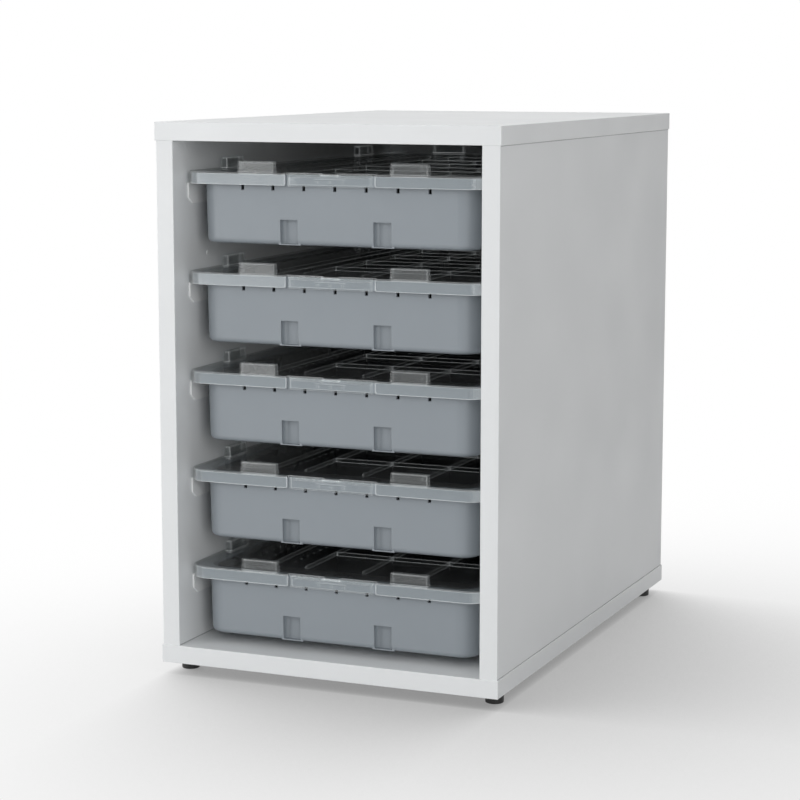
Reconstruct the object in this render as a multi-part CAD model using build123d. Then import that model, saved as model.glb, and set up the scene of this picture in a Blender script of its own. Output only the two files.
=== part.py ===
from build123d import *
import os

# Classroom tray storage unit: a white board cabinet on levelling feet, with a column of
# lidded trays that slide out on side runners. Millimetres, +X right seen from the front,
# +Y to the back, +Z up, origin on the floor under the middle of the cabinet.

# Cabinet boards
INNER_WIDTH = 320.0  # clear width between the side panels
CABINET_DEPTH = 544.0  # front to back over the top board
BOARD = 18.0  # board thickness
BOARD_OVERHANG = 1.0  # top and bottom boards past the sides, all round
EDGE_BAND = 1.0  # plastic edging on the visible board edges
EDGE_EASE = 0.6  # rounding of the edging's outer edges
BACK_PANEL = 5.0  # thin panel let into the back
BACK_LAP = 9.0  # how far the back panel laps each board
DOWEL_RADIUS = 4.0
DOWEL_IN_BOARD = 12.0  # depth of a dowel in the top or bottom board
DOWEL_IN_SIDE = 18.0  # depth of a dowel in the end of a side panel
DOWEL_END_INSET = 91.0  # outer dowels from the front and back edges of a side

# Levelling feet
FOOT_HEIGHT = 12.0  # floor to the underside of the bottom board
FOOT_RADIUS = 9.0
FOOT_PAD = 7.0  # height of the round pad
FOOT_PAD_EASE = 1.2
FOOT_NECK_ACROSS = 11.0  # hexagon above the pad, across its flats
STEM_RADIUS = 4.0
STEM_LENGTH = 10.0  # stem inside the threaded sleeve
SLEEVE_WALL = 1.6
SLEEVE_LENGTH = 13.0
FOOT_INSET_SIDE = 15.0  # foot centre from the side edge of the bottom board
FOOT_INSET_END = 32.0  # foot centre from the front and back edges

# Tray column
LEVELS = 5
TRAY_HEIGHT = 70.2  # lid top to tray underside
UNDER_GAP = 9.5  # lowest tray above the bottom board
LIFT_ROOM = 17.4  # from the stacking tabs to the tray above
TOP_GAP = 29.5  # highest lid below the top board
FRONT_SETBACK = 15.0  # lid front behind the cabinet's front
BACK_GAP = 5.0  # lid back to the back panel
LID_SIDE_GAP = 2.0  # lid edge to the side panel

# Lid
LID_PLATE = 1.8
SKIRT_HEIGHT = 12.1
SKIRT_WALL = 1.8
LID_CORNER = 20.0
LID_EDGE = 1.6  # rounding of the lid's top edge
LID_RIB = 1.6  # ribs under the lid, one over each divider
LID_RIB_HEIGHT = 4.1
LID_RIB_END_GAP = 3.0  # ribs to the walls of the insert's pan
TAB_LENGTH = 40.0
TAB_THICK = 8.6
TAB_HEIGHT = 10.4
TAB_WALL = 1.4
TAB_CORNER = 2.4
TAB_EDGE = 1.0
TAB_DRAFT = 4.0  # degrees
TAB_EDGE_GAP = 3.4  # tab's outer face inside the lid edge
FRONT_TAB_OFFSET = 80.0  # front and back tabs from the middle of the lid
SIDE_TAB_FROM_END = 95.0  # side tabs' middle from the lid's ends

# Front latch
LATCH_WIDTH = 87.0
LATCH_SIDE_GAP = 3.5  # latch to the skirt's cut ends
LATCH_DROP = 0.6  # latch below the skirt
LATCH_PLATE = 1.5
KNUCKLE_RADIUS = 2.1
KNUCKLE_WIDTH = 18.0  # the lid's own knuckle between the latch's two
PIN_RADIUS = 0.8
LATCH_RECESS = 0.9  # latch plate behind the front of its knuckles
LATCH_LIP = 1.8  # height of the bead along the lower edge
GRIP_WIDTH = 31.0
GRIP_BELOW_TOP = 5.4
GRIP_BAR = 1.0
GRIP_PROUD = 1.3
GRIP_LEGS = 3
GRIP_LEG_WIDTH = 2.2
GRIP_LEG_HEIGHT = 3.6
GRIP_LEG_PROUD = 0.9
NOTCH_CORNER = 2.0  # rounding of the skirt's lower corners beside the latch

# Tray
RIM_GAP = 0.9  # lid skirt to the tray's rim
RIM_SHEET = 2.2
RIM_DROP = 12.3  # lid top to the lower edge of the rim's lip
TUB_INSET = 12.4  # tub's wall inside the lid edge, just under the rim
TUB_WALL = 2.5
TUB_FLOOR = 2.5
TUB_DRAFT = 1.2  # degrees
TUB_CORNER = 20.0
TUB_BOTTOM_EDGE = 5.5
SLOT_WIDTH = 3.2
SLOT_PITCH = 32.7
SLOT_TOP = 9.8  # below the lid top
SLOT_BOTTOM = 17.7
RECESS_OFFSET = 49.0  # recesses from the middle of the end walls
RECESS_WIDTH = 18.4
RECESS_DEPTH = 8.5
RECESS_TOP = 45.8  # below the lid top
RECESS_CORNER = 4.5  # rounding of its inner upright corners
LUG_WIDTH = 20.4
LUG_HEIGHT = 1.0
LEDGE_HEIGHT = 3.0  # ledge that carries the sorting insert
LEDGE_END_INSET = 30.0  # ledge shorter than the insert, at each end

# Sorting insert and its dividers
INSERT_TOP = 3.7  # below the lid top
INSERT_SHEET = 2.0
INSERT_DEPTH = 34.0
INSERT_SIDE_GAP = 2.6  # flange to the tub's wall
INSERT_END_GAP = 12.6  # finger room to the tub's end walls
INSERT_FLANGE_SIDE = 11.0
INSERT_FLANGE_END = 18.0
INSERT_CORNER = 8.0
RIGHT_COLUMN = 54.0  # width of the right-hand column
COLUMN_PITCH = 62.3
LEFT_ZONE_LEAST = 70.0  # room kept for the long channels on the left
CHANNEL_WIDTH = 41.5  # outermost long channel
FIRST_ROW = 75.5
ROW_PITCH = 76.5
LAST_ROW_LEAST = 40.0
DIVIDER = 2.6
DIVIDER_EDGE = 0.7

# Runners
RUNNER_SHEET = 1.5
RUNNER_HEIGHT = 20.1
RUNNER_LEDGE = 1.3
RUNNER_SETBACK = 31.0  # runner's front edge behind the cabinet's front
RUNNER_BACK_GAP = 12.0
RUNNER_CHAMFER_RUN = 8.0
RUNNER_CHAMFER_RISE = 6.3
LEDGE_SETBACK = 25.0  # ledge's front behind the web's front
RUNNER_TUB_GAP = 2.4  # ledge to the tub's wall
SCREW_COUNT = 3
SCREW_END_INSET = 45.0
SCREW_RADIUS = 1.75
SCREW_LENGTH = 13.0
SCREW_HEAD_RADIUS = 3.5
SCREW_HEAD = 1.8

# Back panel screws and hole plugs
BACK_SCREWS = 4  # on each side
BACK_SCREW_INSET = 60.0
BACK_SCREW_RADIUS = 1.5
BACK_SCREW_LENGTH = 18.0
BACK_SCREW_HEAD = 1.5
BACK_SCREW_HEAD_RADIUS = 2.8
PLUG_LEVEL = 4  # level that the plugged holes stand above, from the bottom
PLUG_SETBACK = 71.5
PLUG_ABOVE_LID = 14.0
PLUG_RADIUS = 2.6
PLUG_CAP = 0.8
PLUG_SHANK_RADIUS = 2.0
PLUG_DEPTH = 8.0

# Clearances
FIT_GAP = 0.05  # round pieces in their holes
SEAT_GAP = 0.2  # pieces that rest on one another
SLIDE_GAP = 0.3  # pieces that slide or turn past one another
CUT_PAST = 1.0  # cutters past the faces they cut

# Cabinet frame
front = -CABINET_DEPTH / 2
side_front = front + BOARD_OVERHANG
side_back = -side_front
inner_half = INNER_WIDTH / 2
outer_half = inner_half + BOARD
board_half = outer_half + BOARD_OVERHANG
inner_back = side_back - BACK_PANEL
inner_floor = FOOT_HEIGHT + BOARD
tray_pitch = TRAY_HEIGHT + TAB_HEIGHT + LIFT_ROOM
first_lid_top = inner_floor + UNDER_GAP + TRAY_HEIGHT
inner_ceiling = first_lid_top + (LEVELS - 1) * tray_pitch + TOP_GAP
cabinet_top = inner_ceiling + BOARD
dowel_x = inner_half + BOARD / 2
dowel_ys = [side_front + DOWEL_END_INSET, 0.0, side_back - DOWEL_END_INSET]
foot_x = board_half - FOOT_INSET_SIDE
foot_y = -front - FOOT_INSET_END

# Tray frame: Z is 0 at the lid's top face
lid_half = inner_half - LID_SIDE_GAP
lid_front = front + FRONT_SETBACK
lid_back = inner_back - BACK_GAP
lid_mid = (lid_front + lid_back) / 2
rim_top = -LID_PLATE - SEAT_GAP
rim_inset = SKIRT_WALL + RIM_GAP
tub_half = lid_half - TUB_INSET
tub_front = lid_front + TUB_INSET
tub_back = lid_back - TUB_INSET
hinge_y = lid_front + KNUCKLE_RADIUS
hinge_z = -KNUCKLE_RADIUS
latch_half = LATCH_WIDTH / 2
latch_bottom = -SKIRT_HEIGHT - LATCH_DROP
notch_half = latch_half + LATCH_SIDE_GAP
plate_front = hinge_y + KNUCKLE_RADIUS + SLIDE_GAP
rim_pocket_front = plate_front + RIM_GAP
pan_half = tub_half - TUB_WALL - INSERT_SIDE_GAP - INSERT_FLANGE_SIDE
flange_front = tub_front + TUB_WALL + INSERT_END_GAP
flange_back = tub_back - TUB_WALL - INSERT_END_GAP
pan_front = flange_front + INSERT_FLANGE_END
pan_back = flange_back - INSERT_FLANGE_END
pan_floor = -INSERT_TOP - INSERT_DEPTH
rib_bottom = -LID_PLATE - LID_RIB_HEIGHT
divider_top = rib_bottom - SEAT_GAP
channel_x = CHANNEL_WIDTH - pan_half
runner_top = -RIM_DROP - SLIDE_GAP
runner_front = front + RUNNER_SETBACK
runner_back = inner_back - RUNNER_BACK_GAP
screw_z = runner_top - RUNNER_HEIGHT / 2


def block(x0, x1, y0, y1, z0, z1):
    """Box between two corners."""
    middle = ((x0 + x1) / 2, (y0 + y1) / 2, (z0 + z1) / 2)
    return Pos(*middle) * Box(abs(x1 - x0), abs(y1 - y0), abs(z1 - z0))


def rod_x(x0, x1, y, z, radius):
    """Round bar along X."""
    return Pos((x0 + x1) / 2, y, z) * Rot(0, 90, 0) * Cylinder(radius, abs(x1 - x0))


def rod_z(x, y, z0, z1, radius):
    """Round bar along Z."""
    return Pos(x, y, (z0 + z1) / 2) * Cylinder(radius, z1 - z0)


def rounded_slab(half_x, y0, y1, z0, z1, corner):
    """Flat slab with rounded upright corners."""
    outline = RectangleRounded(2 * half_x, y1 - y0, corner)
    return Pos(0, (y0 + y1) / 2, z0) * extrude(outline, z1 - z0)


def ring_slab(half_x, y0, y1, z0, z1, corner, wall):
    """Upright wall that runs round a rounded rectangle."""
    outer = rounded_slab(half_x, y0, y1, z0, z1, corner)
    inner = rounded_slab(half_x - wall, y0 + wall, y1 - wall, z0 - CUT_PAST, z1 + CUT_PAST, corner - wall)
    return outer - inner


def spread(first, last, count):
    """Evenly spaced places from first to last."""
    return [first + (last - first) * i / (count - 1) for i in range(count)]


def centred(pitch, room):
    """As many places as fit a length, one pitch apart, about zero."""
    count = int(room // pitch)
    return [(i - (count - 1) / 2) * pitch for i in range(count)]


# Cabinet

def dowel_holes(z0, z1):
    """Holes for the dowels of both sides between two heights."""
    radius = DOWEL_RADIUS + FIT_GAP
    return [rod_z(side * dowel_x, y, z0, z1, radius) for side in (-1, 1) for y in dowel_ys]


def end_board(z0, z1, inner_z):
    """Top or bottom board without its edging, rebated for the back panel."""
    into = 1 if inner_z == z1 else -1
    half = board_half - EDGE_BAND
    board = block(-half, half, front + EDGE_BAND, -front, z0, z1)
    rebate_half = inner_half + BACK_LAP
    rebate_end = inner_z - into * BACK_LAP
    rebate_mouth = inner_z + into * CUT_PAST
    board -= block(-rebate_half, rebate_half, inner_back, -front + CUT_PAST, rebate_end, rebate_mouth)
    hole_end = inner_z - into * DOWEL_IN_BOARD
    board -= dowel_holes(min(hole_end, inner_z), max(hole_end, inner_z))
    return board


def top_board():
    """Board over the side panels."""
    return end_board(inner_ceiling, cabinet_top, inner_ceiling)


def bottom_board():
    """Board under the side panels, bored for the sleeves of the feet."""
    board = end_board(FOOT_HEIGHT, inner_floor, inner_floor)
    radius = STEM_RADIUS + FIT_GAP + SLEEVE_WALL + FIT_GAP
    for x, y in foot_places():
        board -= rod_z(x, y, FOOT_HEIGHT, FOOT_HEIGHT + SLEEVE_LENGTH, radius)
    return board


def side_panel(side):
    """Side board, rebated for the back panel and drilled on its inner face."""
    board_front = side_front + EDGE_BAND
    panel = block(side * inner_half, side * outer_half, board_front, side_back, inner_floor, inner_ceiling)
    lap_x = side * (inner_half + BACK_LAP)
    past_x = side * (inner_half - CUT_PAST)
    panel -= block(past_x, lap_x, inner_back, side_back + CUT_PAST, inner_floor, inner_ceiling)
    panel -= dowel_holes(inner_floor, inner_floor + DOWEL_IN_SIDE)
    panel -= dowel_holes(inner_ceiling - DOWEL_IN_SIDE, inner_ceiling)
    for z in runner_screw_heights():
        panel -= [runner_screw(side, y, z, FIT_GAP) for y in runner_screw_places()]
    panel -= [back_screw(side, z, FIT_GAP) for z in back_screw_heights()]
    panel -= hole_plug(side, FIT_GAP)
    return panel


def back_board():
    """Thin panel in the rebates of the four boards."""
    half = inner_half + BACK_LAP - SEAT_GAP
    bottom = inner_floor - BACK_LAP + SEAT_GAP
    top = inner_ceiling + BACK_LAP - SEAT_GAP
    panel = block(-half, half, inner_back, side_back, bottom, top)
    panel -= [back_screw(side, z, FIT_GAP) for side in (-1, 1) for z in back_screw_heights()]
    return panel


def edge_strip(x0, x1, y0, y1, z0, z1, outward, run):
    """One strip of edging, eased along its run on the face that points outward."""
    strip = block(x0, x1, y0, y1, z0, z1)
    outer = strip.faces().sort_by(outward)[-1]
    return fillet(outer.edges().filter_by(run), EDGE_EASE)


def edge_bands():
    """Edging on the fronts of all four boards and on the ends of the top and bottom boards."""
    forward = Axis((0, 0, 0), (0, -1, 0))
    left = Axis((0, 0, 0), (-1, 0, 0))
    band_back = front + EDGE_BAND
    strips = []
    for z0, z1 in ((FOOT_HEIGHT, inner_floor), (inner_ceiling, cabinet_top)):
        strips.append(edge_strip(-board_half, board_half, front, band_back, z0, z1, forward, Axis.X))
        for x, outward in ((-board_half, left), (board_half - EDGE_BAND, Axis.X)):
            strips.append(edge_strip(x, x + EDGE_BAND, band_back, -front, z0, z1, outward, Axis.Y))
    side_band_back = side_front + EDGE_BAND
    for x in (-outer_half, inner_half):
        strip = (x, x + BOARD, side_front, side_band_back, inner_floor, inner_ceiling)
        strips.append(edge_strip(*strip, forward, Axis.Z))
    return strips


def dowels():
    """Wooden dowels between the side panels and the end boards."""
    pins = []
    for side in (-1, 1):
        for y in dowel_ys:
            x = side * dowel_x
            low = inner_floor - DOWEL_IN_BOARD
            pins.append(rod_z(x, y, low, inner_floor + DOWEL_IN_SIDE, DOWEL_RADIUS))
            high = inner_ceiling + DOWEL_IN_BOARD
            pins.append(rod_z(x, y, inner_ceiling - DOWEL_IN_SIDE, high, DOWEL_RADIUS))
    return pins


def back_screw_heights():
    """Heights of the back panel's screws."""
    return spread(inner_floor + BACK_SCREW_INSET, inner_ceiling - BACK_SCREW_INSET, BACK_SCREWS)


def back_screw(side, z, extra):
    """Countersunk screw from the back, or its hole when extra widens it."""
    shank = BACK_SCREW_RADIUS + extra
    head = BACK_SCREW_HEAD_RADIUS + extra
    shape = Cylinder(shank, BACK_SCREW_LENGTH, align=(Align.CENTER, Align.CENTER, Align.MIN))
    shape += Cone(head, shank, BACK_SCREW_HEAD, align=(Align.CENTER, Align.CENTER, Align.MIN))
    return Pos(side * (inner_half + BACK_LAP / 2), side_back, z) * Rot(90, 0, 0) * shape


def plug_height():
    """Height of the plugged holes above the floor."""
    return first_lid_top + (PLUG_LEVEL - 1) * tray_pitch + PLUG_ABOVE_LID


def hole_plug(side, extra):
    """Small round plug in a side panel's inner face, or its hole when extra widens it."""
    y = front + PLUG_SETBACK
    z = plug_height()
    face = side * inner_half
    plug = rod_x(face, side * (inner_half + PLUG_DEPTH), y, z, PLUG_SHANK_RADIUS + extra)
    if extra:
        return plug
    return plug + rod_x(face, side * (inner_half - PLUG_CAP), y, z, PLUG_RADIUS)


# Levelling feet

def foot_places():
    """Centres of the four feet."""
    return [(x, y) for y in (-foot_y, foot_y) for x in (-foot_x, foot_x)]


def foot(x, y):
    """Round pad, hexagon neck and stem of one foot."""
    pad = fillet(rod_z(0, 0, 0, FOOT_PAD, FOOT_RADIUS).edges().sort_by(Axis.Z)[0], FOOT_PAD_EASE)
    neck_top = FOOT_HEIGHT - SLIDE_GAP
    neck = extrude(RegularPolygon(FOOT_NECK_ACROSS / 2, 6, major_radius=False), neck_top - FOOT_PAD)
    stem = rod_z(0, 0, neck_top, FOOT_HEIGHT + STEM_LENGTH, STEM_RADIUS)
    return Pos(x, y, 0) * (pad + Pos(0, 0, FOOT_PAD) * neck + stem)


def sleeve(x, y):
    """Threaded sleeve in the bottom board that takes a foot's stem."""
    bore = STEM_RADIUS + FIT_GAP
    tube = rod_z(x, y, FOOT_HEIGHT, FOOT_HEIGHT + SLEEVE_LENGTH - FIT_GAP, bore + SLEEVE_WALL)
    return tube - rod_z(x, y, FOOT_HEIGHT - CUT_PAST, FOOT_HEIGHT + SLEEVE_LENGTH, bore)


# Runners

def runner_screw_places():
    """Places of a runner's screws along the depth."""
    return spread(runner_front + SCREW_END_INSET, runner_back - SCREW_END_INSET, SCREW_COUNT)


def runner_screw_heights():
    """Heights of the screws of every level."""
    return [first_lid_top + level * tray_pitch + screw_z for level in range(LEVELS)]


def runner_screw(side, y, z, extra):
    """Pan head screw through a runner, or its hole when extra widens it."""
    face = inner_half - RUNNER_SHEET
    screw = rod_x(side * face, side * (face + SCREW_LENGTH), y, z, SCREW_RADIUS + extra)
    if extra:
        return screw
    return screw + rod_x(side * face, side * (face - SCREW_HEAD), y, z, SCREW_HEAD_RADIUS)


def runner(side):
    """Angle on a side panel: an upright web and a ledge under the tray's rim."""
    bottom = runner_top - RUNNER_HEIGHT
    outline = Polyline(
        (runner_front, runner_top),
        (runner_back, runner_top),
        (runner_back, bottom),
        (runner_front + RUNNER_CHAMFER_RUN, bottom),
        (runner_front, bottom + RUNNER_CHAMFER_RISE),
        close=True,
    )
    web = extrude(Plane.YZ * make_face(outline), RUNNER_SHEET)
    web = Pos(inner_half - RUNNER_SHEET if side > 0 else -inner_half, 0, 0) * web
    ledge_inner = side * (tub_half + RUNNER_TUB_GAP)
    ledge_front = runner_front + LEDGE_SETBACK
    ledge_low = runner_top - RUNNER_LEDGE
    ledge = block(ledge_inner, side * inner_half, ledge_front, runner_back, ledge_low, runner_top)
    angle = web + ledge
    angle -= [runner_screw(side, y, screw_z, FIT_GAP) for y in runner_screw_places()]
    return angle


# Tray

def tub_form(inset, bottom, edge):
    """Drafted tub shape, inset from the outer wall, down to a given height."""
    half = tub_half - inset
    outline = RectangleRounded(2 * half, tub_back - tub_front - 2 * inset, TUB_CORNER - inset)
    down = Plane((0, lid_mid, rim_top), x_dir=(1, 0, 0), z_dir=(0, 0, -1))
    form = extrude(down * outline, rim_top - bottom, taper=TUB_DRAFT)
    return fillet(form.faces().sort_by(Axis.Z)[0].outer_wire().edges(), edge)


def rim():
    """Flange and turned-down lip round the top of the tray, set back behind the latch."""
    half = lid_half - rim_inset
    y0 = lid_front + rim_inset
    y1 = lid_back - rim_inset
    corner = LID_CORNER - rim_inset
    pocket_half = notch_half + RIM_GAP
    flange = rounded_slab(half, y0, y1, rim_top - RIM_SHEET, rim_top, corner)
    lip = ring_slab(half, y0, y1, -RIM_DROP, rim_top, corner, RIM_SHEET)
    shell = flange + lip
    shell -= block(-pocket_half, pocket_half, y0 - CUT_PAST, rim_pocket_front, -RIM_DROP - CUT_PAST, CUT_PAST)
    lip_half = pocket_half + RIM_SHEET
    pocket_back = rim_pocket_front + RIM_SHEET
    shell += block(-lip_half, lip_half, rim_pocket_front, pocket_back, -RIM_DROP, rim_top)
    for side in (-1, 1):
        edge_x = side * pocket_half
        shell += block(edge_x, side * lip_half, y0, pocket_back, -RIM_DROP, rim_top)
    return shell


def recess_block(x, end, grow, top):
    """Upright block in an end wall: the recess itself, or its housing when grown."""
    wall_y = tub_front if end < 0 else tub_back
    inner_y = wall_y - end * (RECESS_DEPTH + grow)
    outer_y = wall_y + end * CUT_PAST if grow == 0 else wall_y - end * TUB_WALL
    half = RECESS_WIDTH / 2 + grow
    body = block(x - half, x + half, outer_y, inner_y, -TRAY_HEIGHT, top)
    upright = body.edges().filter_by(Axis.Z).sort_by(Axis.Y)
    return fillet(upright[2:] if end < 0 else upright[:2], RECESS_CORNER + grow)


def tray():
    """Drafted tub with its rim, rim slots, end recesses, lugs and insert ledges."""
    shell = tub_form(0, -TRAY_HEIGHT, TUB_BOTTOM_EDGE) + rim()
    shell -= tub_form(TUB_WALL, -TRAY_HEIGHT + TUB_FLOOR, TUB_BOTTOM_EDGE - TUB_FLOOR)
    slots = []
    for x in centred(SLOT_PITCH, 2 * (tub_half - TUB_CORNER)):
        for y in (tub_front, tub_back):
            slots.append(slot_cut(x, y, SLOT_WIDTH, 2 * (TUB_WALL + CUT_PAST)))
    for y in centred(SLOT_PITCH, tub_back - tub_front - 2 * TUB_CORNER):
        for side in (-1, 1):
            slots.append(slot_cut(side * tub_half, lid_mid + y, 2 * (TUB_WALL + CUT_PAST), SLOT_WIDTH))
    shell -= slots
    for end in (-1, 1):
        for x in (-RECESS_OFFSET, RECESS_OFFSET):
            shell += recess_block(x, end, TUB_WALL, -RECESS_TOP + TUB_WALL)
            shell -= recess_block(x, end, 0, -RECESS_TOP)
            shell += lug(x, end)
    for side in (-1, 1):
        shell += insert_ledge(side)
    return shell


def slot_cut(x, y, width_x, width_y):
    """Cutter for one slot under the rim."""
    return block(x - width_x / 2, x + width_x / 2, y - width_y / 2, y + width_y / 2, -SLOT_BOTTOM, -SLOT_TOP)


def lug(x, end):
    """Flat lug that closes the foot of a recess."""
    wall_y = tub_front if end < 0 else tub_back
    inner_y = wall_y - end * (RECESS_DEPTH + TUB_WALL)
    outer_y = wall_y - end * TUB_WALL
    half = LUG_WIDTH / 2
    return block(x - half, x + half, outer_y, inner_y, -TRAY_HEIGHT, -TRAY_HEIGHT + LUG_HEIGHT)


def insert_ledge(side):
    """Ledge along a tub wall under the insert's flange."""
    top = -INSERT_TOP - INSERT_SHEET - FIT_GAP
    inner_x = side * (pan_half + INSERT_SHEET + INSERT_FLANGE_SIDE / 2)
    wall_x = side * (tub_half - TUB_WALL / 2)
    outline = Polyline(
        (inner_x, top),
        (wall_x, top),
        (wall_x, top - 2 * LEDGE_HEIGHT),
        (inner_x, top - LEDGE_HEIGHT),
        close=True,
    )
    y0 = flange_front + LEDGE_END_INSET
    y1 = flange_back - LEDGE_END_INSET
    return extrude(Plane((0, y1, 0), x_dir=(1, 0, 0), z_dir=(0, -1, 0)) * make_face(outline), y1 - y0)


# Sorting insert

def sorting_insert():
    """Shallow pan with a flange, carried by the tub's ledges."""
    top = -INSERT_TOP
    flange_half = pan_half + INSERT_FLANGE_SIDE
    flange = rounded_slab(flange_half, flange_front, flange_back, top - INSERT_SHEET, top, INSERT_CORNER)
    half = pan_half + INSERT_SHEET
    y0 = pan_front - INSERT_SHEET
    y1 = pan_back + INSERT_SHEET
    body = rounded_slab(half, y0, y1, pan_floor - INSERT_SHEET, top, INSERT_CORNER)
    inner_corner = INSERT_CORNER - INSERT_SHEET
    hollow = rounded_slab(pan_half, pan_front, pan_back, pan_floor, top + CUT_PAST, inner_corner)
    return flange + body - hollow


def divider_columns():
    """Places of the columns' long dividers, from the right to the left."""
    room = 2 * pan_half - LEFT_ZONE_LEAST - RIGHT_COLUMN
    return [pan_half - RIGHT_COLUMN - i * COLUMN_PITCH for i in range(int(room // COLUMN_PITCH) + 1)]


def divider_rows():
    """Places of the cross dividers along the insert, from the front."""
    room = pan_back - pan_front - FIRST_ROW - LAST_ROW_LEAST
    return [pan_front + FIRST_ROW + i * ROW_PITCH for i in range(int(room // ROW_PITCH) + 1)]


def divider_plate(x0, x1, y0, y1, along):
    """Upright plate on the pan's floor with its long top edges rounded."""
    plate = block(x0, x1, y0, y1, pan_floor + SEAT_GAP, divider_top)
    return fillet(plate.faces().sort_by(Axis.Z)[-1].edges().filter_by(along), DIVIDER_EDGE)


def crossing_cut(x, y, low, high):
    """Cutter for the slit where two dividers cross."""
    half = DIVIDER / 2 + SEAT_GAP
    return block(x - half, x + half, y - half, y + half, low, high)


def long_divider(x, crossings):
    """Plate along the depth, notched from above at its crossings."""
    half = DIVIDER / 2
    plate = divider_plate(x - half, x + half, pan_front + SEAT_GAP, pan_back - SEAT_GAP, Axis.Y)
    middle = (pan_floor + divider_top) / 2
    slits = [crossing_cut(x, y, middle, CUT_PAST) for y in crossings]
    return plate - slits if slits else plate


def cross_divider(y, columns):
    """Plate across the short columns, notched from below over the long dividers."""
    half = DIVIDER / 2
    plate = divider_plate(columns[-1] + half + SEAT_GAP, pan_half - SEAT_GAP, y - half, y + half, Axis.X)
    middle = (pan_floor + divider_top) / 2
    return plate - [crossing_cut(x, y, pan_floor - CUT_PAST, middle + SEAT_GAP) for x in columns[:-1]]


def divider_set():
    """All loose dividers of one insert."""
    columns = divider_columns()
    rows = divider_rows()
    pieces = [long_divider(channel_x, []), long_divider(columns[-1], [])]
    pieces += [long_divider(x, rows) for x in columns[:-1]]
    pieces += [cross_divider(y, columns) for y in rows]
    return pieces


# Lid, latch and latch pin

def tab_places():
    """Centre, length along X and length along Y of each stacking tab."""
    edge = TAB_EDGE_GAP + TAB_THICK / 2
    places = []
    for y in (lid_front + edge, lid_back - edge):
        for x in (-FRONT_TAB_OFFSET, FRONT_TAB_OFFSET):
            places.append((x, y, TAB_LENGTH, TAB_THICK))
    for y in (lid_front + SIDE_TAB_FROM_END, lid_back - SIDE_TAB_FROM_END):
        for x in (-lid_half + edge, lid_half - edge):
            places.append((x, y, TAB_THICK, TAB_LENGTH))
    return places


def tab_body(x, y, length_x, length_y):
    """Outside of one stacking tab."""
    outline = RectangleRounded(length_x, length_y, TAB_CORNER)
    body = extrude(outline, TAB_HEIGHT + LID_PLATE / 2, taper=TAB_DRAFT)
    body = fillet(body.faces().sort_by(Axis.Z)[-1].edges(), TAB_EDGE)
    return Pos(x, y, -LID_PLATE / 2) * body


def tab_hollow(x, y, length_x, length_y):
    """Inside of one stacking tab, open below the lid."""
    outline = RectangleRounded(length_x - 2 * TAB_WALL, length_y - 2 * TAB_WALL, TAB_CORNER - TAB_WALL)
    low = -LID_PLATE - CUT_PAST
    return Pos(x, y, low) * extrude(outline, TAB_HEIGHT - TAB_WALL - low, taper=TAB_DRAFT)


def lid_ribs():
    """Clear bars under the lid that close the insert's compartments, one over each divider."""
    half = LID_RIB / 2
    top = -LID_PLATE - FIT_GAP
    columns = divider_columns()
    y0 = pan_front + LID_RIB_END_GAP
    y1 = pan_back - LID_RIB_END_GAP
    bars = [block(x - half, x + half, y0, y1, rib_bottom, top) for x in [channel_x] + columns]
    starts = [x + half + FIT_GAP for x in columns]
    ends = [pan_half - LID_RIB_END_GAP] + [x - half - FIT_GAP for x in columns[:-1]]
    for y in divider_rows():
        bars += [block(x0, x1, y - half, y + half, rib_bottom, top) for x0, x1 in zip(starts, ends)]
    return bars


def lid():
    """Clear lid: plate, skirt cut away for the latch, stacking tabs and hinge knuckle."""
    shell = rounded_slab(lid_half, lid_front, lid_back, -SKIRT_HEIGHT, 0, LID_CORNER)
    shell = fillet(shell.faces().sort_by(Axis.Z)[-1].edges(), LID_EDGE)
    shell -= rounded_slab(
        lid_half - SKIRT_WALL,
        lid_front + SKIRT_WALL,
        lid_back - SKIRT_WALL,
        -SKIRT_HEIGHT - CUT_PAST,
        -LID_PLATE,
        LID_CORNER - SKIRT_WALL,
    )
    shell -= notch_cut()
    shell += [tab_body(*place) for place in tab_places()]
    shell -= [tab_hollow(*place) for place in tab_places()]
    half = KNUCKLE_WIDTH / 2 - SLIDE_GAP
    shell += rod_x(-half, half, hinge_y, hinge_z, KNUCKLE_RADIUS)
    shell += block(-half, half, hinge_y, plate_front + LID_PLATE, -LID_PLATE, 0)
    shell -= rod_x(-KNUCKLE_WIDTH, KNUCKLE_WIDTH, hinge_y, hinge_z, PIN_RADIUS + FIT_GAP)
    return shell


def notch_cut():
    """Cutter for the front of the skirt, with flared lower corners."""
    low = -SKIRT_HEIGHT - CUT_PAST
    cut = block(-notch_half, notch_half, lid_front - CUT_PAST, plate_front, low, CUT_PAST)
    skirt_back = lid_front + SKIRT_WALL + CUT_PAST / 2
    for side in (-1, 1):
        x0 = side * notch_half
        x1 = side * (notch_half + NOTCH_CORNER)
        corner = block(x0, x1, lid_front - CUT_PAST, skirt_back, low, -SKIRT_HEIGHT + NOTCH_CORNER)
        round_part = Pos(x1, lid_front, -SKIRT_HEIGHT + NOTCH_CORNER) * Rot(90, 0, 0)
        corner -= round_part * Cylinder(NOTCH_CORNER, 2 * (SKIRT_WALL + CUT_PAST))
        cut += corner
    return cut


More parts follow.
